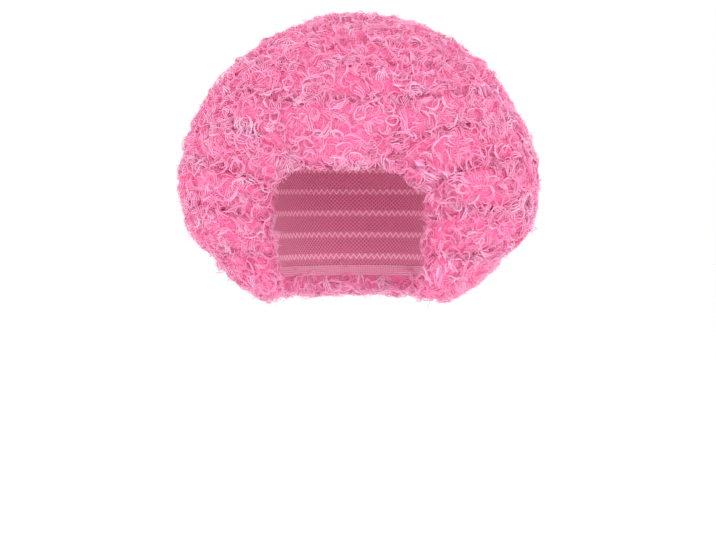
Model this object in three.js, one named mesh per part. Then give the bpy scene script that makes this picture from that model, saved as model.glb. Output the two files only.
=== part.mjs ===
// Clown wig: a round mass of tight curls, sewn in weft rows on a stretch cap with elastic bands at its edge.
// Millimetres, +Z up, the face looks along -Y and +X is at the left hand of the wearer.
// The origin is the point inside the cap that rests on the crown of the head.
import * as THREE from "three";

// Head that the cap fits, and the cap's wall
const headBreadth = 152;
const headLength = 192;
const capDepth = 150; // crown of the head down to the cap's lower edge
const capWall = 1.5;

// Elastic bands along the cap's edge
const bandWidth = 9;
const bandWall = 1.4;
const bandCover = 5; // how far the curls reach past the band, onto the skin

// Opening for the face, measured on the curls
const faceOpening = 130;
const hairlineDrop = 64; // crown of the head down to the edge of the fringe
const faceCornerRadius = 44;

// Outer form of the curls
const hairWidth = 304;
const hairFront = 128; // middle of the head to the front of the curls
const hairBack = 160; // middle of the head to the back of the curls
const hairRise = 63; // crown of the head to the top of the curls
const hairDrop = 178; // crown of the head to the lowest curls

// Locks: one fused lump for each bunch of curls
const locksAtCrown = 8; // in each of the two uppermost rows
const locksInRow = 16; // in each of the other rows
const lockDepth = 9; // from the top of a lock to the valley beside it
const edgeRound = 52; // distance over which the curls round off at the face
const edgeLip = 0.2; // share of the full thickness that is left at the very edge
const fanForward = 0.36; // share by which the locks beside the face turn towards it

// Weft rows above and below the hairline, and the gaps between the pieces
const rowsAbove = 6;
const rowsBelow = 4;
const seamGap = 0.3;
const rootGap = 0.6;
const rowGap = 0.5;

// Sections from the crown (first) to the lowest curls (last).
// headDrop is a share of capDepth, headSide of half headBreadth, headFront and headBack of half headLength.
// hairDrop is a share of the hair's whole height, hairSide of half hairWidth, hairFront and hairBack of their names.
const SECTIONS = [
  { headDrop: 0.0, headSide: 0.0, headFront: 0.0, headBack: 0.0, hairDrop: 0.0, hairSide: 0.0, hairFront: 0.0, hairBack: 0.0 },
  { headDrop: 0.03, headSide: 0.34, headFront: 0.34, headBack: 0.34, hairDrop: 0.025, hairSide: 0.29, hairFront: 0.31, hairBack: 0.28 },
  { headDrop: 0.117, headSide: 0.64, headFront: 0.64, headBack: 0.64, hairDrop: 0.091, hairSide: 0.51, hairFront: 0.55, hairBack: 0.49 },
  { headDrop: 0.25, headSide: 0.87, headFront: 0.87, headBack: 0.87, hairDrop: 0.199, hairSide: 0.72, hairFront: 0.79, hairBack: 0.7 },
  { headDrop: 0.413, headSide: 0.985, headFront: 0.985, headBack: 0.985, hairDrop: 0.353, hairSide: 0.895, hairFront: 0.96, hairBack: 0.88 },
  { headDrop: 0.613, headSide: 1.0, headFront: 1.0, headBack: 1.0, hairDrop: 0.544, hairSide: 0.993, hairFront: 1.0, hairBack: 0.985 },
  { headDrop: 0.853, headSide: 0.96, headFront: 0.98, headBack: 0.9, hairDrop: 0.759, hairSide: 0.935, hairFront: 0.9, hairBack: 0.96 },
  { headDrop: 1.12, headSide: 0.9, headFront: 0.95, headBack: 0.78, hairDrop: 0.99, hairSide: 0.55, hairFront: 0.66, hairBack: 0.72 },
];
const lastLevel = SECTIONS.length - 1;
const TURN = 2 * Math.PI;

// Smooth value of one column at a level between the sections. At the crown the surface is level.
function share(column, level) {
  const even = column.endsWith("Drop") ? 1 : -1;
  const value = (row) => {
    if (row < 0) return even * SECTIONS[-row][column];
    if (row > lastLevel) return 2 * SECTIONS[lastLevel][column] - SECTIONS[2 * lastLevel - row][column];
    return SECTIONS[row][column];
  };
  const row = Math.min(Math.floor(level), lastLevel - 1);
  const f = level - row;
  const [a, b, c, d] = [value(row - 1), value(row), value(row + 1), value(row + 2)];
  return b + 0.5 * f * (c - a + f * (2 * a - 5 * b + 4 * c - d + f * (3 * (b - c) + d - a)));
}

// A point of a ring whose front and back reaches differ. Azimuth 0 is the face, a quarter turn is +X.
function ringPoint(azimuth, side, front, back, height) {
  const reach = Math.cos(azimuth) > 0 ? front : back;
  return new THREE.Vector3(side * Math.sin(azimuth), -reach * Math.cos(azimuth), height);
}

function headPoint(azimuth, level) {
  return ringPoint(
    azimuth,
    (share("headSide", level) * headBreadth) / 2,
    (share("headFront", level) * headLength) / 2,
    (share("headBack", level) * headLength) / 2,
    -share("headDrop", level) * capDepth,
  );
}

function hairPoint(azimuth, level) {
  return ringPoint(
    azimuth,
    (share("hairSide", level) * hairWidth) / 2,
    share("hairFront", level) * hairFront,
    share("hairBack", level) * hairBack,
    hairRise - share("hairDrop", level) * (hairRise + hairDrop),
  );
}

// The head's surface raised by a height along its normal
function raisedPoint(azimuth, level, height) {
  const point = headPoint(azimuth, level);
  if (level < 1e-6) return point.add(new THREE.Vector3(0, 0, height));
  const step = 1e-3;
  const around = headPoint(azimuth + step, level).sub(headPoint(azimuth - step, level));
  const down = headPoint(azimuth, level + step).sub(headPoint(azimuth, level - step));
  return point.add(down.cross(around).normalize().multiplyScalar(height));
}

function levelAtDrop(drop) {
  let low = 0;
  let high = lastLevel;
  for (let i = 0; i < 40; i++) {
    const middle = (low + high) / 2;
    if (share("headDrop", middle) * capDepth < drop) low = middle;
    else high = middle;
  }
  return low;
}

// The face opening is an arch with round corners, drawn on the head's surface.
// A margin moves its edge away from the face. The result is the half angle of the opening at a level.
const wrapRadius = (headBreadth + headLength) / 4;
function openingAngle(level, margin = 0) {
  const below = share("headDrop", level) * capDepth - (hairlineDrop - margin);
  const halfWidth = Math.asin(faceOpening / headBreadth) * wrapRadius + margin;
  const radius = faceCornerRadius + margin;
  const fromCorner = radius - Math.min(Math.max(below, 0), radius);
  return (halfWidth - radius + Math.sqrt(radius ** 2 - fromCorner ** 2)) / wrapRadius;
}

const hairlineLevel = levelAtDrop(hairlineDrop);
const levelLength = hairPoint(0, 1).distanceTo(hairPoint(0, 0));

// The azimuth that a lock's tip has, given its root's: beside the face the tips lean forward
function tipAzimuth(azimuth, level) {
  const side = azimuth > Math.PI ? -1 : 1;
  const angle = side > 0 ? azimuth : TURN - azimuth;
  const edge = openingAngle(level);
  const lean = 1 - fanForward * THREE.MathUtils.smoothstep(level, hairlineLevel - 1.2, hairlineLevel + 0.8);
  const tip = angle < edge ? angle * lean : Math.PI - ((Math.PI - angle) * (Math.PI - edge * lean)) / (Math.PI - edge);
  return side > 0 ? tip : TURN - tip;
}

// Share of the full thickness at a place: the curls round off towards the face opening
function fullness(azimuth, level) {
  const angle = azimuth > Math.PI ? TURN - azimuth : azimuth;
  const aside = Math.max(0, angle - openingAngle(level)) * (hairWidth / 2);
  const above = Math.max(0, hairlineLevel - level) * levelLength;
  const inside = 1 - Math.min(Math.hypot(aside, above) / edgeRound, 1);
  return edgeLip + (1 - edgeLip) * Math.sqrt(1 - inside ** 2);
}

const wrapped = (azimuth) => ((azimuth % TURN) + TURN) % TURN;
const rootPoint = (azimuth, level) => raisedPoint(azimuth, level, capWall + rootGap);

// A point on the outside of the locks. swell is 1 on top of a lock and 0 in the valley beside it.
function lockPoint(azimuth, level, swell) {
  const turn = wrapped(azimuth);
  const root = rootPoint(turn, level);
  const tip = hairPoint(tipAzimuth(turn, level), level);
  const valley = lockDepth / root.distanceTo(tip);
  return root.lerp(tip, fullness(turn, level) * (1 - valley * (1 - swell)));
}

// A fixed number between 0 and 1 for each lock, so that no two locks of a row are alike
function chance(row, lock) {
  const wave = Math.sin(row * 12.9898 + lock * 78.233) * 43758.5453;
  return wave - Math.floor(wave);
}

// Builds a closed mesh: points that coincide become one vertex, and empty triangles are left out
class Skin {
  vertices = [];
  triangles = [];
  known = new Map();

  vertex(point) {
    const key = point.toArray().map((v) => Math.round(v * 1e4)).join();
    if (!this.known.has(key)) {
      this.known.set(key, this.vertices.length);
      this.vertices.push(point);
    }
    return this.known.get(key);
  }

  triangle(a, b, c) {
    const corners = [a, b, c].map((point) => this.vertex(point));
    if (new Set(corners).size === 3) this.triangles.push(corners);
  }

  // Split along the shorter diagonal, so that the facing sides of two neighbours match
  quad(a, b, c, d) {
    if (a.distanceTo(c) > b.distanceTo(d)) [a, b, c, d] = [b, c, d, a];
    this.triangle(a, b, c);
    this.triangle(a, c, d);
  }

  geometry() {
    const at = (corners) => corners.map((i) => this.vertices[i]);
    const volume = this.triangles.map(at).reduce((sum, [a, b, c]) => sum + a.dot(b.clone().cross(c)), 0);
    const faces = volume < 0 ? this.triangles.map(([a, b, c]) => [a, c, b]) : this.triangles;
    const made = new THREE.BufferGeometry().setFromPoints(this.vertices).setIndex(faces.flat());
    made.computeVertexNormals();
    return made;
  }
}

// Skins a net of like sections. A net that goes all the way round joins its last section to its first,
// and closed sections join their last point to their first. An open net gets flat ends.
function skinNet(sections, { around, closedSections }) {
  const skin = new Skin();
  const turns = around ? sections.length : sections.length - 1;
  for (let i = 0; i < turns; i++) {
    const [here, next] = [sections[i], sections[(i + 1) % sections.length]];
    const steps = closedSections ? here.length : here.length - 1;
    for (let k = 0; k < steps; k++) {
      const after = (k + 1) % here.length;
      skin.quad(here[k], next[k], next[after], here[after]);
    }
  }
  if (!around) {
    const [first, last] = [sections[0], sections[sections.length - 1]];
    for (let k = 1; k < first.length - 1; k++) {
      skin.triangle(first[0], first[k], first[k + 1]);
      skin.triangle(last[0], last[k + 1], last[k]);
    }
  }
  return skin.geometry();
}

// Change of level that moves a point by half the gap between two rows
function halfGapIn(pointAt, level) {
  const step = 0.05;
  return (rowGap / 2) * (step / pointAt(0, level).distanceTo(pointAt(0, Math.abs(level - step))));
}

// One weft row: locks fused along a strip that follows the cap, between two levels.
// start and end give the azimuths of the row's ends at a level, or the row goes all the way round.
function weftRow(row, locks, from, to, start, end) {
  const around = !start;
  const atCrown = from === 0;
  const startAt = start ?? (() => 0);
  const endAt = end ?? (() => TURN);
  const columnsPerLock = 4;
  const outerSteps = [0, 0.25, 0.5, 0.75, 1];
  const rootSteps = [1, 0.5, 0.15, 0];
  const columns = locks * columnsPerLock;
  const limits = (pointAt) => [
    atCrown ? 0 : from + halfGapIn(pointAt, from),
    to === lastLevel ? to : to - halfGapIn(pointAt, to),
  ];
  const [outerLimits, rootLimits] = [limits(hairPoint), limits(headPoint)];
  const sections = [];
  for (let i = 0; i < columns + (around ? 0 : 1); i++) {
    const place = around && row % 2 ? i + columnsPerLock / 2 : i;
    const lock = Math.floor(place / columnsPerLock) % locks;
    const across = Math.sin((Math.PI * (place % columnsPerLock)) / columnsPerLock) ** 0.6;
    const azimuthAt = (step) => {
      const level = THREE.MathUtils.lerp(from, to, step);
      return THREE.MathUtils.lerp(startAt(level), endAt(level), i / columns);
    };
    const outside = outerSteps.map((step) => {
      const level = THREE.MathUtils.lerp(...outerLimits, step);
      const along = atCrown ? Math.cos((Math.PI * step) / 2) : Math.sin(Math.PI * step);
      const size = 1 - 0.3 * chance(row, lock) * (atCrown ? step : 1);
      const swell = Math.max(across, atCrown ? 1 - step : 0) * Math.max(along, 0) ** 0.6 * size;
      return lockPoint(azimuthAt(step), level, swell);
    });
    const roots = rootSteps.map((step) => {
      const level = THREE.MathUtils.lerp(...rootLimits, step);
      return rootPoint(azimuthAt(step), level);
    });
    sections.push([...outside, ...roots]);
  }
  return skinNet(sections, { around, closedSections: !atCrown });
}

// Edge of the cap or of a band: an arch over the forehead down to the lower edge on both sides.
// The places, [azimuth, level] each, run from one lower end over the forehead to the other.
const foreheadSteps = 8;
const cornerSteps = 5;
const templeSteps = 5;
function archPlaces(margin, lowerDrop) {
  const top = hairlineDrop - margin;
  const radius = faceCornerRadius + margin;
  const halfWidth = openingAngle(lastLevel, margin) * wrapRadius;
  const half = [];
  for (let i = 0; i <= foreheadSteps / 2; i++) half.push([((halfWidth - radius) * i) / (foreheadSteps / 2), top]);
  for (let i = 1; i <= cornerSteps; i++) {
    const turn = (Math.PI / 2) * (i / cornerSteps);
    half.push([halfWidth - radius + radius * Math.sin(turn), top + radius * (1 - Math.cos(turn))]);
  }
  for (let i = 1; i <= templeSteps; i++) {
    half.push([halfWidth, THREE.MathUtils.lerp(top + radius, lowerDrop, i / templeSteps)]);
  }
  const places = half.map(([across, drop]) => [across / wrapRadius, levelAtDrop(drop)]);
  const mirrored = places.slice(1).map(([azimuth, level]) => [-azimuth, level]);
  return [...mirrored.reverse(), ...places];
}

// Places round the nape at one height, from one end of the arch to the other
const napeSteps = 22;
function napePlaces(drop) {
  const level = levelAtDrop(drop);
  const edge = openingAngle(level, capMargin);
  return Array.from({ length: napeSteps + 1 }, (_, i) => [
    THREE.MathUtils.lerp(edge, TURN - edge, i / napeSteps),
    level,
  ]);
}

// The stretch cap: columns fan out from the crown to the cap's edge
const capMargin = bandCover + bandWidth + seamGap;
const capRings = 7;
function capGeometry() {
  const edge = [...archPlaces(capMargin, capDepth), ...napePlaces(capDepth).slice(1, -1)];
  const middle = foreheadSteps / 2 + cornerSteps + templeSteps;
  const columns = edge.map(([azimuth, level], i) => {
    const crownAzimuth = (TURN * (i - middle)) / edge.length;
    return Array.from({ length: capRings + 1 }, (_, ring) => {
      const along = ring / capRings;
      return [THREE.MathUtils.lerp(crownAzimuth, azimuth, along), level * along];
    });
  });
  return skinNet(columns.map((places) => wallSection(places, capWall)), { around: true, closedSections: false });
}

// Section of a wall on the head: along the places on the outside, and back on the inside
function wallSection(places, wall) {
  return [
    ...places.map(([azimuth, level]) => raisedPoint(azimuth, level, wall)),
    ...places.toReversed().map(([azimuth, level]) => raisedPoint(azimuth, level, 0)),
  ];
}

// An elastic band between two edges that have the same number of places
function bandGeometry(outerEdge, innerEdge) {
  const sections = outerEdge.map((place, i) => wallSection([place, innerEdge[i]], bandWall));
  return skinNet(sections, { around: false, closedSections: true });
}

const curlFibre = new THREE.MeshStandardMaterial({ color: 0xee86b2, roughness: 0.55, metalness: 0 });
const capNet = new THREE.MeshStandardMaterial({ color: 0xd9729b, roughness: 0.9, metalness: 0 });
const elastic = new THREE.MeshStandardMaterial({ color: 0xe9a3bd, roughness: 0.8, metalness: 0 });

const wig = new THREE.Group();

function addPiece(name, geometry, material) {
  const piece = new THREE.Mesh(geometry, material);
  piece.name = name;
  wig.add(piece);
}

addPiece("cap", capGeometry(), capNet);

// The front band ends below the cap, and the nape band runs between its ends
const napeTop = capDepth + seamGap;
const napeBottom = napeTop + bandWidth;
const frontBand = bandGeometry(archPlaces(bandCover + bandWidth, napeBottom), archPlaces(bandCover, napeBottom));
addPiece("front_band", frontBand, elastic);
addPiece("nape_band", bandGeometry(napePlaces(napeTop), napePlaces(napeBottom)), elastic);

// Rows above the hairline go all the way round. The last of them is parted into the fringe and the rest.
const levelAbove = (row) => (hairlineLevel * row) / rowsAbove;
const levelBelow = (row) => THREE.MathUtils.lerp(hairlineLevel, lastLevel, row / rowsBelow);
addPiece("crown_tuft", weftRow(0, locksAtCrown, 0, levelAbove(1)), curlFibre);
for (let row = 1; row < rowsAbove - 1; row++) {
  const locks = row === 1 ? locksAtCrown : locksInRow;
  addPiece("weft_row_" + row, weftRow(row, locks, levelAbove(row), levelAbove(row + 1)), curlFibre);
}
const hairlineRow = rowsAbove - 1;
const parting = openingAngle(hairlineLevel);
const fringeEnd = parting - rowGap / wrapRadius;
const fringeLocks = Math.round((locksInRow * parting) / Math.PI);
const fringe = weftRow(
  rowsAbove + rowsBelow,
  fringeLocks,
  levelAbove(hairlineRow),
  hairlineLevel,
  () => -fringeEnd,
  () => fringeEnd,
);
addPiece("fringe", fringe, curlFibre);
const besideFringe = weftRow(
  hairlineRow,
  locksInRow - fringeLocks,
  levelAbove(hairlineRow),
  hairlineLevel,
  () => parting,
  () => TURN - parting,
);
addPiece("weft_row_" + hairlineRow, besideFringe, curlFibre);

// Rows below the hairline stop at the face on both sides
for (let row = rowsAbove; row < rowsAbove + rowsBelow; row++) {
  const made = weftRow(
    row,
    locksInRow - fringeLocks,
    levelBelow(row - rowsAbove),
    levelBelow(row - rowsAbove + 1),
    (level) => openingAngle(level),
    (level) => TURN - openingAngle(level),
  );
  addPiece("weft_row_" + row, made, curlFibre);
}

export default wig;
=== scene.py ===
# Curly clown wig: a stretch cap with elastic at its edge, and rows of tight synthetic curls sewn round it.
import math

import bmesh
import bpy
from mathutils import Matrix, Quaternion, Vector
from mathutils.bvhtree import BVHTree


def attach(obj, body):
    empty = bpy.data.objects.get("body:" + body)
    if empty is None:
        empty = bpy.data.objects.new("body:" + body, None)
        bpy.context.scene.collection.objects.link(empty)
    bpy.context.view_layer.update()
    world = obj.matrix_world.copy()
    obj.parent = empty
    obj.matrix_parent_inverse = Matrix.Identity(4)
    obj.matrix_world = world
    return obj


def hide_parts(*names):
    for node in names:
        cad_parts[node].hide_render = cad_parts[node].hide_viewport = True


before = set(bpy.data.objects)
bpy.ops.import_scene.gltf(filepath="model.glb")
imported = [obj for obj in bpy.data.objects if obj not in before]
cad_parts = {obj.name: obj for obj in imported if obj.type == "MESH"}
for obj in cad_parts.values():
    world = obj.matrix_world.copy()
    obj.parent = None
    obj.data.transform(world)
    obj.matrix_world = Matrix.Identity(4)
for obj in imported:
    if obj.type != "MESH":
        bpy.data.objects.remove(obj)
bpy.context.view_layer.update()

# Camera: level with the brow, a little to the wig's +X side, two metres away. The wig stands in the upper
# part of the frame, as it does in the photograph.
CAMERA_AZIMUTH = math.radians(8)
CAMERA_ELEVATION = math.radians(2)
CAMERA_DISTANCE = 2.0
CAMERA_LENS = 118.0  # mm, on a 36 mm sensor
CAMERA_AIM = Vector((0.0, 0.0, -0.152))

camera = bpy.data.objects.new("camera", bpy.data.cameras.new("camera"))
bpy.context.scene.collection.objects.link(camera)
camera.data.lens = CAMERA_LENS
camera.data.sensor_width = 36.0
camera_side = Vector((math.sin(CAMERA_AZIMUTH), -math.cos(CAMERA_AZIMUTH), math.tan(CAMERA_ELEVATION)))
camera.location = CAMERA_AIM + CAMERA_DISTANCE * camera_side
camera.rotation_euler = (CAMERA_AIM - camera.location).to_track_quat("-Z", "Y").to_euler()
bpy.context.scene.camera = camera


def linear(hex_colour):
    """A colour given as sRGB hex, as the linear RGBA that Blender's sockets take"""
    parts = [int(hex_colour[i : i + 2], 16) / 255 for i in (1, 3, 5)]
    return [c / 12.92 if c <= 0.04045 else ((c + 0.055) / 1.055) ** 2.4 for c in parts] + [1.0]


def add(tree, kind, inputs=(), **settings):
    """Adds a node with its settings, and fills its inputs, by name or place, with a value or a link"""
    node = tree.nodes.new(kind)
    for name, value in settings.items():
        setattr(node, name, value)
    for name, value in dict(inputs).items():
        if isinstance(value, bpy.types.NodeSocket):
            tree.links.new(value, node.inputs[name])
        else:
            node.inputs[name].default_value = value
    return node


# Studio: a plain pale floor far below the wig, which a head would hold up, an even white surround, a broad
# key light from the right of the picture and a weaker one from the left.
FLOOR_DROP = 0.55
FLOOR_COLOUR = "#FFFFFF"
SURROUND = "#FFFFFF"
SURROUND_STRENGTH = 1.0

floor_mesh = bpy.data.meshes.new("floor")
floor_mesh.from_pydata([(-9, -6, -FLOOR_DROP), (9, -6, -FLOOR_DROP), (9, 12, -FLOOR_DROP), (-9, 12, -FLOOR_DROP)], [], [(0, 1, 2, 3)])
floor = bpy.data.objects.new("floor", floor_mesh)
bpy.context.scene.collection.objects.link(floor)
floor_paint = bpy.data.materials.new("matt studio floor")
floor_paint.use_nodes = True
floor_paint.node_tree.nodes["Principled BSDF"].inputs["Base Color"].default_value = linear(FLOOR_COLOUR)
floor_paint.node_tree.nodes["Principled BSDF"].inputs["Roughness"].default_value = 0.9
floor_mesh.materials.append(floor_paint)

world = bpy.data.worlds.new("studio")
bpy.context.scene.world = world
world.use_nodes = True
world.node_tree.nodes["Background"].inputs["Color"].default_value = linear(SURROUND)
world.node_tree.nodes["Background"].inputs["Strength"].default_value = SURROUND_STRENGTH
bpy.context.scene.view_settings.view_transform = "Standard"

LIGHTS = [  # name, place, size, watts
    ("key", (0.75, -2.1, 0.5), 0.9, 8.1),
    ("fill", (-1.3, -1.9, 0.1), 1.2, 3.2),
    ("rim right", (1.9, 0.5, 0.5), 1.2, 4.9),
    ("rim left", (-1.9, 0.5, 0.4), 1.2, 3.7),
    ("rim top", (0.0, 0.9, 1.8), 1.2, 2.7),
    ("back", (0.3, 2.3, 0.4), 1.2, 7.0),
]
for name, place, size, watts in LIGHTS:
    light = bpy.data.lights.new(name, "AREA")
    light.size = size
    light.energy = watts
    lamp = bpy.data.objects.new(name, light)
    lamp.location = place
    lamp.rotation_euler = (Vector((0, 0, -0.07)) - Vector(place)).to_track_quat("-Z", "Y").to_euler()
    bpy.context.scene.collection.objects.link(lamp)


# Curls: crimped synthetic fibre, doubled over and sewn in rows. Each row is a soft bed of fibre in the form of
# its CAD solid, with tight ringlets of a few parallel strands on it. Every ringlet lies at its own angle, so
# that some show as rosettes and others as arcs.
HAIR_NODES = ["crown_tuft", "fringe"] + ["weft_row_%d" % row for row in range(1, 10)]
CURL_SPACING = 0.0048  # from ringlet to ringlet over the bed
CURL_SCATTER = 0.0026  # how far ringlets stand out or sink in
VALLEY_LIFT = 0.4  # they lie higher in a valley between locks by this share of its depth
STRAND_WIDTH = 0.0008  # a few fibres together, so that they show in the render
SEGMENTS = 7  # steps in a turn of a ringlet
WISP_SPACING = 0.0056  # from stray hair to stray hair
WISP_WIDTH = 0.00045
WISP_REACH = 0.008  # how much further they stand out than the curls
OPEN_WIDTH = 0.04  # a place with another row nearer than this, and deeper than OPEN_DEPTH, shows nothing
OPEN_DEPTH = 0.002
SWELL = 0.0021  # the bed is thicker by this on its outer side and its flanks, so that rows meet
SINK = 0.0018  # and its outer side lies lower by this, which leaves room for the curls
VALLEY_REACH = 0.013  # from the middle of a valley to its sides
VALLEY_MOST = 0.022  # deeper ones are a row's hidden sides
VALLEY_FILL = 1.35  # the bed is raised by this share of the depth; smoothing takes the rest off again
HEAD_CENTRE = Vector((0.0, 0.01, -0.08))
TRIM = 0.0043  # curls are cut back to about this height over the bed
BUNCH = 0.02  # strands turn paler or deeper in patches over this distance, painted light and shade on clumps of curls
RINGLETS = [  # turns, inner and outer radius, height, strands, step from strand to strand and its growth; mm
    {"turns": 1.4, "inner": 3.4, "outer": 5.8, "height": 1.5, "strands": 3, "step": 0.9, "growth": 0.26},
    {"turns": 2.0, "inner": 1.8, "outer": 6.4, "height": 2.5, "strands": 2, "step": 0.9, "growth": 0.2},
    {"turns": 1.1, "inner": 4.8, "outer": 5.8, "height": 3.0, "strands": 4, "step": 1.5, "growth": 0.07},
    {"turns": 0.7, "inner": 7.5, "outer": 9.0, "height": 2.5, "strands": 4, "step": 1.6, "growth": 0.1},
    {"turns": 1.3, "inner": 5.2, "outer": 3.8, "height": 6.0, "strands": 3, "step": 1.6, "growth": -0.05},
]

fibre = bpy.data.materials.new("crimped synthetic fibre")
fibre.use_nodes = True
tree = fibre.node_tree
shader = tree.nodes["Principled BSDF"]
shade = add(tree, "ShaderNodeAttribute", attribute_name="shade")
place = add(tree, "ShaderNodeTexCoord").outputs["Object"]
# Painted light and shade: slow noise makes the strands paler or deeper in patches the size of a clump of curls
clump_light = add(tree, "ShaderNodeTexNoise", {"Vector": place, "Scale": 1 / BUNCH, "Detail": 1.0}).outputs["Fac"]
lighter = add(tree, "ShaderNodeMapRange", {"Value": clump_light, "From Min": 0.3, "From Max": 0.7, "To Min": -0.25, "To Max": 0.25}).outputs[0]
shift = add(tree, "ShaderNodeMath", {0: shade.outputs["Fac"], 1: lighter}, operation="ADD").outputs[0]
# Each ringlet's tone differs at random, and the pale lavender end of this ramp is a painted highlight: glints put on
# ringlets at random
tone = add(tree, "ShaderNodeValToRGB", {"Fac": shift})
tone.color_ramp.elements[0].color = linear("#FF90C0")
tone.color_ramp.elements[1].color = linear("#FDC0DF")
tone.color_ramp.elements.new(0.8).color = linear("#FCACD4")
tree.links.new(tone.outputs["Color"], shader.inputs["Base Color"])
shader.inputs["Roughness"].default_value = 0.45
shader.inputs["IOR"].default_value = 1.45
shader.inputs["Sheen Weight"].default_value = 0.3
shader.inputs["Sheen Roughness"].default_value = 0.35
shader.inputs["Sheen Tint"].default_value = linear("#FFD2EA")

# The bed between the ringlets shows more curls, too deep to make out singly: cells the size of a ringlet, each
# with arcs of strands round its own centre, drawn as relief and as painted light and shade: pale on the arcs and
# towards a cell's middle, deep pink between arcs and at a cell's edge, a painted shade in the gaps between curls.
CELLS = [  # size of a ringlet in the bed and, from strand to strand, a pitch coarse enough to show
    {"size": 0.012, "pitch": 0.0019, "seed": 0.0},
    {"size": 0.0085, "pitch": 0.0016, "seed": 3.7},
]

# Painted shade: the bed is a deeper pink than the strands, for the same fibre lying deep in shade
bed = bpy.data.materials.new("matted synthetic fibre in painted shade")
bed.use_nodes = True
tree = bed.node_tree
shader = tree.nodes["Principled BSDF"]
place = add(tree, "ShaderNodeTexCoord").outputs["Object"]
waver = add(tree, "ShaderNodeTexNoise", {"Vector": place, "Scale": 120.0, "Detail": 2.0}).outputs["Color"]
wavy = add(tree, "ShaderNodeVectorMath", {0: waver, "Scale": 0.005}, operation="SCALE").outputs[0]
warped = add(tree, "ShaderNodeVectorMath", {0: place, 1: wavy}, operation="ADD").outputs[0]
layers = []
for layer in CELLS:
    in_cell = add(tree, "ShaderNodeVectorMath", {0: warped, "Scale": 1 / layer["size"]}, operation="SCALE").outputs[0]
    shifted = add(tree, "ShaderNodeVectorMath", {0: in_cell, 1: (layer["seed"],) * 3}, operation="ADD").outputs[0]
    cells = add(tree, "ShaderNodeTexVoronoi", {"Vector": shifted, "Scale": 1.0, "Randomness": 1.0})
    centre = add(tree, "ShaderNodeVectorMath", {0: cells.outputs["Color"], 1: (0.5, 0.5, 0.5)}, operation="SUBTRACT").outputs[0]
    aside = add(tree, "ShaderNodeVectorMath", {0: centre, "Scale": 1.4}, operation="SCALE").outputs[0]
    hub = add(tree, "ShaderNodeVectorMath", {0: cells.outputs["Position"], 1: aside}, operation="ADD").outputs[0]
    from_hub = add(tree, "ShaderNodeVectorMath", {0: shifted, 1: hub}, operation="DISTANCE").outputs["Value"]
    turns = add(tree, "ShaderNodeMath", {0: from_hub, 1: 2 * math.pi * layer["size"] / layer["pitch"]}, operation="MULTIPLY").outputs[0]
    swing = add(tree, "ShaderNodeMath", {0: turns}, operation="SINE").outputs[0]
    strand = add(tree, "ShaderNodeMapRange", {"Value": swing, "From Min": -0.3, "From Max": 1.0}).outputs[0]
    # Lower towards a cell's edge, and through the ramp below a deeper pink there: a painted shadow between curls
    dome = add(tree, "ShaderNodeMapRange", {"Value": cells.outputs["Distance"], "From Min": 0.15, "From Max": 0.8, "To Min": 1.0, "To Max": 0.1}).outputs[0]
    layers.append(add(tree, "ShaderNodeMath", {0: strand, 1: dome}, operation="MULTIPLY").outputs[0])
depth = add(tree, "ShaderNodeMath", {0: layers[0], 1: layers[1]}, operation="MAXIMUM").outputs[0]
# Painted light and shade: deep pink where the pattern is low, between arcs and at cell edges, pale pink on the arcs
tone = add(tree, "ShaderNodeValToRGB", {"Fac": depth})
tone.color_ramp.elements[0].color = linear("#FF66A4")
tone.color_ramp.elements[0].position = 0.0
tone.color_ramp.elements[1].color = linear("#FAB8DC")
tone.color_ramp.elements[1].position = 1.0
tone.color_ramp.elements.new(0.45).color = linear("#FF8EBF")
tree.links.new(tone.outputs["Color"], shader.inputs["Base Color"])
relief = add(tree, "ShaderNodeBump", {"Height": depth, "Distance": 0.0016, "Strength": 0.6})
tree.links.new(relief.outputs["Normal"], shader.inputs["Normal"])
shader.inputs["Roughness"].default_value = 0.7


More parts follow.
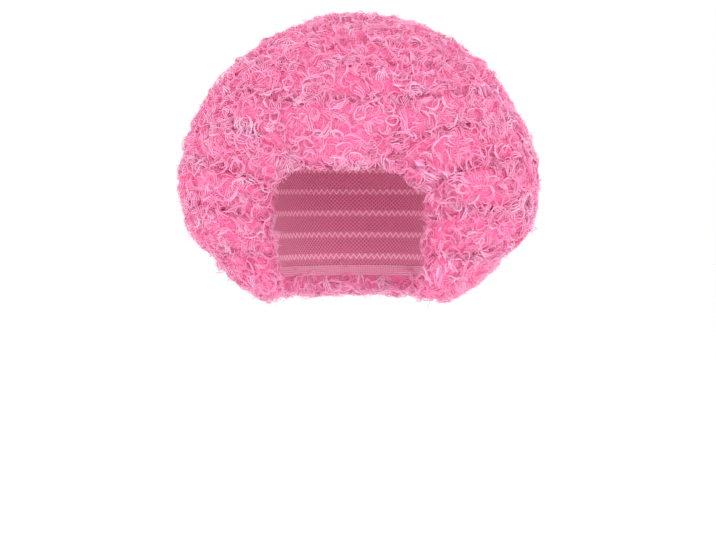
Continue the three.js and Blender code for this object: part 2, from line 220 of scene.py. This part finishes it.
def ringlet_tree():
    """Geometry nodes that put ringlets and stray hairs on the open faces of a row's bed"""
    tree = bpy.data.node_groups.new("ringlets on a weft row", "GeometryNodeTree")
    face = tree.interface
    face.new_socket("Bed", in_out="INPUT", socket_type="NodeSocketGeometry")
    face.new_socket("Surroundings", in_out="INPUT", socket_type="NodeSocketObject")
    for name in ("Open Width", "Open Depth"):
        face.new_socket(name, in_out="INPUT", socket_type="NodeSocketFloat")
    for name in ("Spacing", "Scatter", "Valley Lift", "Strand Width", "Wisp Spacing", "Wisp Width", "Wisp Reach", "Trim"):
        face.new_socket(name, in_out="INPUT", socket_type="NodeSocketFloat")
    face.new_socket("Seed", in_out="INPUT", socket_type="NodeSocketInt")
    for name in ("Fibre", "Bed Fibre"):
        face.new_socket(name, in_out="INPUT", socket_type="NodeSocketMaterial")
    face.new_socket("Curls", in_out="OUTPUT", socket_type="NodeSocketGeometry")
    given = add(tree, "NodeGroupInput").outputs

    # One kind of ringlet for each row of the table
    half_width = add(tree, "ShaderNodeMath", {0: given["Strand Width"], 1: 0.5}, operation="MULTIPLY").outputs[0]
    section = add(tree, "GeometryNodeCurvePrimitiveCircle", {"Resolution": 3, "Radius": half_width})
    kinds = add(tree, "GeometryNodeJoinGeometry")
    for ringlet in reversed(RINGLETS):
        spiral = add(
            tree,
            "GeometryNodeCurveSpiral",
            {
                "Resolution": SEGMENTS,
                "Rotations": ringlet["turns"],
                "Start Radius": ringlet["inner"] / 1000,
                "End Radius": ringlet["outer"] / 1000,
                "Height": ringlet["height"] / 1000,
            },
        )
        centred = add(
            tree,
            "GeometryNodeTransform",
            {"Geometry": spiral.outputs[0], "Translation": (0, 0, -ringlet["height"] / 2000)},
        )
        along = add(tree, "GeometryNodeSplineParameter").outputs["Factor"]
        taper = add(tree, "ShaderNodeFloatCurve", {"Value": along})
        curve = taper.mapping.curves[0]
        curve.points[0].location = (0.0, 0.35)
        curve.points[1].location = (1.0, 0.35)
        curve.points.new(0.15, 1.0)
        curve.points.new(0.85, 1.0)
        taper.mapping.update()
        tapered = add(tree, "GeometryNodeSetCurveRadius", {"Curve": centred.outputs[0], "Radius": taper.outputs[0]})
        line = add(
            tree,
            "GeometryNodeMeshLine",
            {
                "Count": ringlet["strands"],
                "Start Location": (0, 0, -ringlet["step"] * (ringlet["strands"] - 1) / 2000),
                "Offset": (0, 0, ringlet["step"] / 1000),
            },
        )
        number = add(tree, "GeometryNodeInputIndex").outputs[0]
        grown = add(
            tree,
            "ShaderNodeMath",
            {0: number, 1: ringlet["growth"], 2: 1.0 - ringlet["growth"] * (ringlet["strands"] - 1) / 2},
            operation="MULTIPLY_ADD",
        )
        turned = add(tree, "ShaderNodeMath", {0: number, 1: 0.32}, operation="MULTIPLY")
        turn = add(tree, "ShaderNodeCombineXYZ", {"Z": turned.outputs[0]})
        bundle = add(
            tree,
            "GeometryNodeInstanceOnPoints",
            {
                "Points": line.outputs[0],
                "Instance": tapered.outputs[0],
                "Rotation": turn.outputs[0],
                "Scale": grown.outputs[0],
            },
        )
        strands = add(tree, "GeometryNodeRealizeInstances", {"Geometry": bundle.outputs[0]})
        tube = add(
            tree,
            "GeometryNodeCurveToMesh",
            {"Curve": strands.outputs[0], "Profile Curve": section.outputs[0], "Fill Caps": True},
        )
        kind = add(tree, "GeometryNodeGeometryToInstance", {"Geometry": tube.outputs[0]})
        tree.links.new(kind.outputs[0], kinds.inputs[0])

    # Places on the open faces, and a ringlet of any kind at each, higher where the bed is a valley
    around = add(tree, "GeometryNodeObjectInfo", {"Object": given["Surroundings"]}).outputs["Geometry"]
    place = add(tree, "GeometryNodeInputPosition").outputs[0]
    from_head = add(tree, "ShaderNodeVectorMath", {0: place, 1: HEAD_CENTRE}, operation="SUBTRACT").outputs[0]
    away = add(tree, "ShaderNodeVectorMath", {0: from_head}, operation="NORMALIZE").outputs[0]

    def showing(points):
        """The points that aren't hidden between two rows or against the cap"""
        start = add(tree, "ShaderNodeVectorMath", {0: points.outputs["Normal"], 1: (2e-4,) * 3, 2: place}, operation="MULTIPLY_ADD")
        beside = add(
            tree,
            "GeometryNodeRaycast",
            {
                "Target Geometry": around,
                "Source Position": start.outputs[0],
                "Ray Direction": points.outputs["Normal"],
                "Ray Length": given["Open Width"],
            },
        )
        far_off = add(tree, "ShaderNodeVectorMath", {0: away, 1: (0.4,) * 3, 2: HEAD_CENTRE}, operation="MULTIPLY_ADD")
        back = add(tree, "ShaderNodeVectorMath", {0: away, "Scale": -1.0}, operation="SCALE")
        above = add(
            tree,
            "GeometryNodeRaycast",
            {
                "Target Geometry": around,
                "Source Position": far_off.outputs[0],
                "Ray Direction": back.outputs[0],
                "Ray Length": 0.5,
            },
        )
        surface = add(tree, "ShaderNodeVectorMath", {0: above.outputs["Hit Position"], 1: HEAD_CENTRE}, operation="DISTANCE")
        own = add(tree, "ShaderNodeVectorMath", {0: from_head}, operation="LENGTH")
        below = add(
            tree,
            "ShaderNodeMath",
            {0: surface.outputs["Value"], 1: own.outputs["Value"]},
            operation="SUBTRACT",
        )
        deep = add(tree, "FunctionNodeCompare", {0: below.outputs[0], 1: given["Open Depth"]}, operation="GREATER_THAN")
        hidden = add(tree, "FunctionNodeBooleanMath", {0: beside.outputs["Is Hit"], 1: deep.outputs[0]}, operation="AND")
        return add(
            tree,
            "GeometryNodeDeleteGeometry",
            {"Geometry": points.outputs["Points"], "Selection": hidden.outputs[0]},
            domain="POINT",
        ).outputs[0]

    points = add(
        tree,
        "GeometryNodeDistributePointsOnFaces",
        {
            "Mesh": given["Bed"],
            "Distance Min": given["Spacing"],
            "Density Max": 60000.0,
            "Seed": given["Seed"],
        },
        distribute_method="POISSON",
    )
    which = add(tree, "FunctionNodeRandomValue", {4: 0, 5: len(RINGLETS) - 1, "Seed": 11}, data_type="INT")
    tilt = add(
        tree,
        "FunctionNodeRandomValue",
        {0: (-0.95, -0.95, -math.pi), 1: (0.95, 0.95, math.pi), "Seed": 12},
        data_type="FLOAT_VECTOR",
    )
    tilted = add(
        tree,
        "FunctionNodeRotateRotation",
        {"Rotation": points.outputs["Rotation"], "Rotate By": tilt.outputs[0]},
        rotation_space="LOCAL",
    )
    size = add(tree, "FunctionNodeRandomValue", {2: 0.7, 3: 1.15, "Seed": 13}, data_type="FLOAT")
    depth = add(tree, "ShaderNodeMath", {0: given["Scatter"], 1: -0.6}, operation="MULTIPLY").outputs[0]
    lift = add(tree, "FunctionNodeRandomValue", {2: depth, 3: given["Scatter"], "Seed": 15}, data_type="FLOAT")
    valley = add(tree, "GeometryNodeInputNamedAttribute", {"Name": "valley"}, data_type="FLOAT").outputs[0]
    ridge = add(tree, "ShaderNodeMath", {0: 1.0, 1: valley}, operation="SUBTRACT").outputs[0]
    ridge_lift = add(tree, "ShaderNodeMath", {0: lift.outputs[1], 1: ridge}, operation="MULTIPLY").outputs[0]
    outwards = add(tree, "ShaderNodeVectorMath", {0: points.outputs["Normal"], "Scale": ridge_lift}, operation="SCALE")
    rise = add(tree, "ShaderNodeMath", {0: valley, 1: given["Valley Lift"]}, operation="MULTIPLY").outputs[0]
    out_of_valley = add(tree, "ShaderNodeVectorMath", {0: away, "Scale": rise}, operation="SCALE").outputs[0]
    moved = add(tree, "ShaderNodeVectorMath", {0: outwards.outputs[0], 1: out_of_valley}, operation="ADD").outputs[0]
    lifted = add(tree, "GeometryNodeSetPosition", {"Geometry": showing(points), "Offset": moved})
    ringlets = add(
        tree,
        "GeometryNodeInstanceOnPoints",
        {
            "Points": lifted.outputs[0],
            "Instance": kinds.outputs[0],
            "Pick Instance": True,
            "Instance Index": which.outputs[2],
            "Rotation": tilted.outputs[0],
            "Scale": size.outputs[1],
        },
    )

    # Stray hairs: thin single arches that stand on the bed at any angle
    half_wisp = add(tree, "ShaderNodeMath", {0: given["Wisp Width"], 1: 0.5}, operation="MULTIPLY").outputs[0]
    wisp_section = add(tree, "GeometryNodeCurvePrimitiveCircle", {"Resolution": 3, "Radius": half_wisp})
    arch = add(
        tree,
        "GeometryNodeCurveSpiral",
        {"Resolution": 9, "Rotations": 0.6, "Start Radius": 0.003, "End Radius": 0.0075, "Height": 0.004},
    )
    upright = add(tree, "GeometryNodeTransform", {"Geometry": arch.outputs[0], "Rotation": (math.pi / 2, 0, 0)})
    wisp = add(
        tree,
        "GeometryNodeCurveToMesh",
        {"Curve": upright.outputs[0], "Profile Curve": wisp_section.outputs[0], "Fill Caps": True},
    )
    wisp_points = add(
        tree,
        "GeometryNodeDistributePointsOnFaces",
        {
            "Mesh": given["Bed"],
            "Distance Min": given["Wisp Spacing"],
            "Density Max": 30000.0,
            "Seed": given["Seed"],
        },
        distribute_method="POISSON",
    )
    lean = add(
        tree,
        "FunctionNodeRandomValue",
        {0: (-0.7, -0.7, -math.pi), 1: (0.7, 0.7, math.pi), "Seed": 22},
        data_type="FLOAT_VECTOR",
    )
    leaning = add(
        tree,
        "FunctionNodeRotateRotation",
        {"Rotation": wisp_points.outputs["Rotation"], "Rotate By": lean.outputs[0]},
        rotation_space="LOCAL",
    )
    length = add(tree, "FunctionNodeRandomValue", {2: 0.7, 3: 1.1, "Seed": 23}, data_type="FLOAT")
    wisps = add(
        tree,
        "GeometryNodeInstanceOnPoints",
        {
            "Points": showing(wisp_points),
            "Instance": wisp.outputs[0],
            "Rotation": leaning.outputs[0],
            "Scale": length.outputs[1],
        },
    )

    stray = add(
        tree,
        "GeometryNodeStoreNamedAttribute",
        {"Geometry": wisps.outputs[0], "Name": "stray", "Value": 1.0},
        data_type="FLOAT",
        domain="INSTANCE",
    )

    # Each ringlet and hair takes a tone of its own at random, its paler tones a painted highlight, and a stray one only
    # a pale tone, a painted highlight for the light that stray hairs catch as they stand out. The bed has none, which
    # tells them apart
    loose = add(tree, "GeometryNodeJoinGeometry")
    for strands, darkest in ((ringlets, 0.1), (stray, 0.6)):
        chance = add(tree, "FunctionNodeRandomValue", {2: darkest, 3: 1.0, "Seed": 14}, data_type="FLOAT")
        shaded = add(
            tree,
            "GeometryNodeStoreNamedAttribute",
            {"Geometry": strands.outputs[0], "Name": "shade", "Value": chance.outputs[1]},
            data_type="FLOAT",
            domain="INSTANCE",
        )
        tree.links.new(shaded.outputs[0], loose.inputs[0])
    soft = add(tree, "GeometryNodeSubdivisionSurface", {"Mesh": given["Bed"], "Level": 1})
    bed_given_material = add(tree, "GeometryNodeSetMaterial", {"Geometry": soft.outputs[0], "Material": given["Bed Fibre"]})
    whole = add(tree, "GeometryNodeJoinGeometry")
    tree.links.new(loose.outputs[0], whole.inputs[0])
    tree.links.new(bed_given_material.outputs[0], whole.inputs[0])
    realized = add(tree, "GeometryNodeRealizeInstances", {"Geometry": whole.outputs[0]})
    shade = add(tree, "GeometryNodeInputNamedAttribute", {"Name": "shade"}, data_type="FLOAT").outputs[0]
    is_strand = add(tree, "FunctionNodeCompare", {0: shade, 1: 0.05}, operation="GREATER_THAN").outputs[0]

    # Slow noise bends each ringlet out of true, and its strands keep together
    wave = add(tree, "ShaderNodeTexNoise", {"Scale": 75.0, "Detail": 1.0})
    middle = add(tree, "ShaderNodeVectorMath", {0: wave.outputs["Color"], 1: (0.5, 0.5, 0.5)}, operation="SUBTRACT")
    reach = add(tree, "ShaderNodeVectorMath", {0: middle.outputs[0], "Scale": 0.011}, operation="SCALE")
    bent = add(
        tree,
        "GeometryNodeSetPosition",
        {"Geometry": realized.outputs[0], "Selection": is_strand, "Offset": reach.outputs[0]},
    )

    # What stands out further than the trim is drawn back towards the bed
    nearest = add(tree, "GeometryNodeProximity", {"Geometry": given["Bed"]}, target_element="FACES")
    is_stray = add(tree, "GeometryNodeInputNamedAttribute", {"Name": "stray"}, data_type="FLOAT").outputs[0]
    limit = add(
        tree,
        "ShaderNodeMath",
        {0: is_stray, 1: given["Wisp Reach"], 2: given["Trim"]},
        operation="MULTIPLY_ADD",
    ).outputs[0]
    excess = add(tree, "ShaderNodeMath", {0: nearest.outputs["Distance"], 1: limit}, operation="SUBTRACT").outputs[0]
    over = add(tree, "ShaderNodeMath", {0: excess, 1: 0.0}, operation="MAXIMUM").outputs[0]
    cut = add(tree, "ShaderNodeMath", {0: over, 1: 0.65}, operation="MULTIPLY").outputs[0]
    to_bed = add(tree, "ShaderNodeVectorMath", {0: nearest.outputs["Position"], 1: place}, operation="SUBTRACT").outputs[0]
    inwards = add(tree, "ShaderNodeVectorMath", {0: to_bed}, operation="NORMALIZE").outputs[0]
    back = add(tree, "ShaderNodeVectorMath", {0: inwards, "Scale": cut}, operation="SCALE").outputs[0]
    trimmed = add(
        tree,
        "GeometryNodeSetPosition",
        {"Geometry": bent.outputs[0], "Selection": is_strand, "Offset": back},
    )
    is_bed = add(tree, "FunctionNodeBooleanMath", {0: is_strand}, operation="NOT").outputs[0]
    faceted = add(tree, "GeometryNodeSetShadeSmooth", {"Geometry": trimmed.outputs[0], "Shade Smooth": False})
    smooth = add(tree, "GeometryNodeSetShadeSmooth", {"Geometry": faceted.outputs[0], "Selection": is_bed})
    single = add(tree, "GeometryNodeRealizeInstances", {"Geometry": smooth.outputs[0]})
    with_fibre = add(
        tree,
        "GeometryNodeSetMaterial",
        {"Geometry": single.outputs[0], "Selection": is_strand, "Material": given["Fibre"]},
    )
    add(tree, "NodeGroupOutput", {"Curls": with_fibre.outputs[0]})
    return tree


def gathered(meshes):
    """The corners and the faces of several meshes, in one list each"""
    corners, faces = [], []
    for mesh in meshes:
        start = len(corners)
        corners += [v.co.copy() for v in mesh.vertices]
        faces += [[start + i for i in p.vertices] for p in mesh.polygons]
    return corners, faces


solids = BVHTree.FromPolygons(*gathered([holder.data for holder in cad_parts.values()]))


def surface_radius(direction):
    """How far the hair's surface lies from the middle of the head that way, or 0 where there is none"""
    place = solids.ray_cast(HEAD_CENTRE + 0.4 * direction, -direction)[0]
    return (place - HEAD_CENTRE).length if place else 0.0


def valley_depth(place):
    """How much lower the surface is at a place than on both sides of it, whichever way across is deepest"""
    away = (place - HEAD_CENTRE).normalized()
    across = away.orthogonal()
    own = (place - HEAD_CENTRE).length
    depth = 0.0
    for step in range(4):
        side = Quaternion(away, math.pi * step / 4) @ across * VALLEY_REACH
        banks = [surface_radius((place + side * sign - HEAD_CENTRE).normalized()) for sign in (-1, 1)]
        depth = max(depth, min(banks) - own)
    return depth


def row_bed(node):
    """A merged copy of a row's solid, swollen a little and its valleys partly filled"""
    form = bmesh.new()
    form.from_mesh(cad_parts[node].data)
    bmesh.ops.remove_doubles(form, verts=form.verts, dist=1e-6)
    valley = form.verts.layers.float.new("valley")
    form.normal_update()
    for corner in form.verts:
        away = (corner.co - HEAD_CENTRE).normalized()
        if corner.normal.dot(away) < -0.2:
            continue  # the side that lies on the cap
        depth = valley_depth(corner.co)
        if depth < VALLEY_MOST:
            corner[valley] = depth
            corner.co += away * VALLEY_FILL * depth
        corner.co += corner.normal * SWELL - away * SINK * max(corner.normal.dot(away), 0.0)
    mesh = bpy.data.meshes.new(node + "_bed")
    form.to_mesh(mesh)
    form.free()
    return mesh


beds = {node: row_bed(node) for node in HAIR_NODES}
surface = bpy.data.meshes.new("surroundings_draft")
surface_corners, surface_faces = gathered(
    list(beds.values()) + [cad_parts[node].data for node in ("cap", "front_band", "nape_band")]
)
surface.from_pydata(surface_corners, [], surface_faces)
surroundings = bpy.data.objects.new("surroundings_draft", surface)
bpy.context.scene.collection.objects.link(surroundings)

ringlets = ringlet_tree()
sockets = {s.name: s.identifier for s in ringlets.interface.items_tree if s.in_out == "INPUT"}
for number, node in enumerate(HAIR_NODES):
    draft = bpy.data.objects.new(node + "_draft", beds[node])
    bpy.context.scene.collection.objects.link(draft)
    nodes_modifier = draft.modifiers.new("ringlets", "NODES")
    nodes_modifier.node_group = ringlets
    values = {
        "Surroundings": surroundings,
        "Open Width": OPEN_WIDTH,
        "Open Depth": OPEN_DEPTH,
        "Spacing": CURL_SPACING,
        "Scatter": CURL_SCATTER,
        "Valley Lift": VALLEY_LIFT,
        "Strand Width": STRAND_WIDTH,
        "Wisp Spacing": WISP_SPACING,
        "Wisp Width": WISP_WIDTH,
        "Wisp Reach": WISP_REACH,
        "Trim": TRIM,
        "Seed": number + 1,
        "Fibre": fibre,
        "Bed Fibre": bed,
    }
    for name, value in values.items():
        nodes_modifier[sockets[name]] = value
    evaluated = draft.evaluated_get(bpy.context.evaluated_depsgraph_get())
    mesh = bpy.data.meshes.new_from_object(evaluated)
    mesh.name = node + "_curls"
    piece = bpy.data.objects.new(node + "_curls", mesh)
    bpy.context.scene.collection.objects.link(piece)
    bpy.data.objects.remove(draft)
    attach(piece, "root")
    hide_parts(node)
    print(node, "triangles", sum(len(p.vertices) - 2 for p in mesh.polygons))

bpy.data.objects.remove(surroundings)

# Cap: the stretch net that the rows are sewn to, warp-knitted from nylon and seen inside through the face
# opening. Weft tapes go round it, each held by a zigzag stitch.
NET_PITCH = 0.0034  # from mesh to mesh, coarse enough to show
CAP_RADIUS = 0.086  # turns an angle round the head into a length
WEFT_PITCH = 0.019  # from tape to tape
TAPE_SHARE = 0.3  # of that, the tape itself
STITCH_PITCH = 0.0055
STITCH_WIDTH = 0.045  # share of the pitch from tape to tape

net = bpy.data.materials.new("warp-knitted nylon net")
net.use_nodes = True
tree = net.node_tree
shader = tree.nodes["Principled BSDF"]
place = add(tree, "ShaderNodeTexCoord").outputs["Object"]
axes = add(tree, "ShaderNodeSeparateXYZ", {0: place}).outputs
angle = add(tree, "ShaderNodeMath", {0: axes["Y"], 1: axes["X"]}, operation="ARCTAN2").outputs[0]
wale = add(tree, "ShaderNodeMath", {0: angle, 1: CAP_RADIUS / NET_PITCH}, operation="MULTIPLY").outputs[0]
course = add(tree, "ShaderNodeMath", {0: axes["Z"], 1: 1 / NET_PITCH}, operation="MULTIPLY").outputs[0]
threads = []
for way in ("ADD", "SUBTRACT"):
    slant = add(tree, "ShaderNodeMath", {0: wale, 1: course}, operation=way).outputs[0]
    wave = add(tree, "ShaderNodeMath", {0: slant, 1: math.pi}, operation="MULTIPLY").outputs[0]
    swing = add(tree, "ShaderNodeMath", {0: wave}, operation="SINE").outputs[0]
    threads.append(add(tree, "ShaderNodeMath", {0: swing}, operation="ABSOLUTE").outputs[0])
nearest = add(tree, "ShaderNodeMath", {0: threads[0], 1: threads[1]}, operation="MINIMUM").outputs[0]
thread = add(
    tree,
    "ShaderNodeMapRange",
    {"Value": nearest, "From Min": 0.2, "From Max": 0.55, "To Min": 1.0, "To Max": 0.0},
).outputs[0]
# Painted shade: the openings between threads, lower in the relief, are a deeper pink than the threads, as the fibre
# behind them lying in shade
mesh_tone = add(tree, "ShaderNodeValToRGB", {"Fac": thread})
mesh_tone.color_ramp.elements[0].color = linear("#D9628F")
mesh_tone.color_ramp.elements[1].color = linear("#F7A6C6")

level = add(tree, "ShaderNodeMath", {0: axes["Z"], 1: 1 / WEFT_PITCH}, operation="MULTIPLY").outputs[0]
part = add(tree, "ShaderNodeMath", {0: level}, operation="FRACT").outputs[0]
from_tape = add(tree, "ShaderNodeMath", {0: part, 1: 0.5}, operation="SUBTRACT").outputs[0]
off_tape = add(tree, "ShaderNodeMath", {0: from_tape}, operation="ABSOLUTE").outputs[0]
tape = add(tree, "ShaderNodeMath", {0: off_tape, 1: TAPE_SHARE / 2}, operation="LESS_THAN").outputs[0]
step = add(tree, "ShaderNodeMath", {0: angle, 1: CAP_RADIUS / STITCH_PITCH}, operation="MULTIPLY").outputs[0]
tooth = add(tree, "ShaderNodeMath", {0: step, 1: 0.5}, operation="PINGPONG").outputs[0]
zigzag = add(
    tree,
    "ShaderNodeMapRange",
    {"Value": tooth, "From Max": 0.5, "To Min": -TAPE_SHARE / 3, "To Max": TAPE_SHARE / 3},
).outputs[0]
off_stitch = add(tree, "ShaderNodeMath", {0: from_tape, 1: zigzag}, operation="SUBTRACT").outputs[0]
near_stitch = add(tree, "ShaderNodeMath", {0: off_stitch}, operation="ABSOLUTE").outputs[0]
stitch = add(tree, "ShaderNodeMath", {0: near_stitch, 1: STITCH_WIDTH}, operation="LESS_THAN").outputs[0]
tape_tone = add(tree, "ShaderNodeMix", {"Factor": stitch}, data_type="RGBA")
tape_tone.inputs[6].default_value = linear("#EE86AE")
tape_tone.inputs[7].default_value = linear("#FFD7E6")
tone = add(tree, "ShaderNodeMix", {"Factor": tape, 6: mesh_tone.outputs["Color"], 7: tape_tone.outputs[2]}, data_type="RGBA")
tree.links.new(tone.outputs[2], shader.inputs["Base Color"])
height = add(tree, "ShaderNodeMath", {0: tape, 1: thread}, operation="MAXIMUM").outputs[0]
raised = add(tree, "ShaderNodeMath", {0: stitch, 1: 0.5, 2: height}, operation="MULTIPLY_ADD").outputs[0]
relief = add(tree, "ShaderNodeBump", {"Height": raised, "Distance": 0.0006, "Strength": 0.8})
tree.links.new(relief.outputs["Normal"], shader.inputs["Normal"])
shader.inputs["Roughness"].default_value = 0.75
shader.inputs["Sheen Weight"].default_value = 0.2

# Bands: elastic woven over rubber cords, which run along it and stand out as ribs. One goes round the face
# opening, the other round the nape, and both are sewn to the cap's edge.
RIB_PITCH = 0.0018  # from cord to cord, coarse enough to show
PICK_PITCH = 0.0022  # from weft thread to weft thread

elastic = bpy.data.materials.new("woven elastic")
elastic.use_nodes = True
tree = elastic.node_tree
shader = tree.nodes["Principled BSDF"]
place = add(tree, "ShaderNodeTexCoord").outputs["Object"]
axes = add(tree, "ShaderNodeSeparateXYZ", {0: place}).outputs
angle = add(tree, "ShaderNodeMath", {0: axes["Y"], 1: axes["X"]}, operation="ARCTAN2").outputs[0]
round_it = add(tree, "ShaderNodeMath", {0: angle, 1: 2 * math.pi * CAP_RADIUS / PICK_PITCH}, operation="MULTIPLY").outputs[0]
up_it = add(tree, "ShaderNodeMath", {0: axes["Z"], 1: 2 * math.pi / RIB_PITCH}, operation="MULTIPLY").outputs[0]
picks = add(tree, "ShaderNodeMath", {0: round_it}, operation="SINE").outputs[0]
ribs = add(tree, "ShaderNodeMath", {0: up_it}, operation="SINE").outputs[0]
weave = add(tree, "ShaderNodeMath", {0: picks, 1: 0.5, 2: ribs}, operation="MULTIPLY_ADD").outputs[0]
height = add(tree, "ShaderNodeMapRange", {"Value": weave, "From Min": -1.5, "From Max": 1.5}).outputs[0]
# Painted shade and highlight: the colour follows the weave's height, deeper pink in the hollows between ribs and
# threads, paler on their tops
tone = add(tree, "ShaderNodeValToRGB", {"Fac": height})
tone.color_ramp.elements[0].color = linear("#E27BA3")
tone.color_ramp.elements[1].color = linear("#FBC0D7")
tree.links.new(tone.outputs["Color"], shader.inputs["Base Color"])
relief = add(tree, "ShaderNodeBump", {"Height": height, "Distance": 0.0005, "Strength": 0.8})
tree.links.new(relief.outputs["Normal"], shader.inputs["Normal"])
shader.inputs["Roughness"].default_value = 0.65

for node, material in (("cap", net), ("front_band", elastic), ("nape_band", elastic)):
    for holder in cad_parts[node].material_slots:
        holder.link = "OBJECT"
        holder.material = material
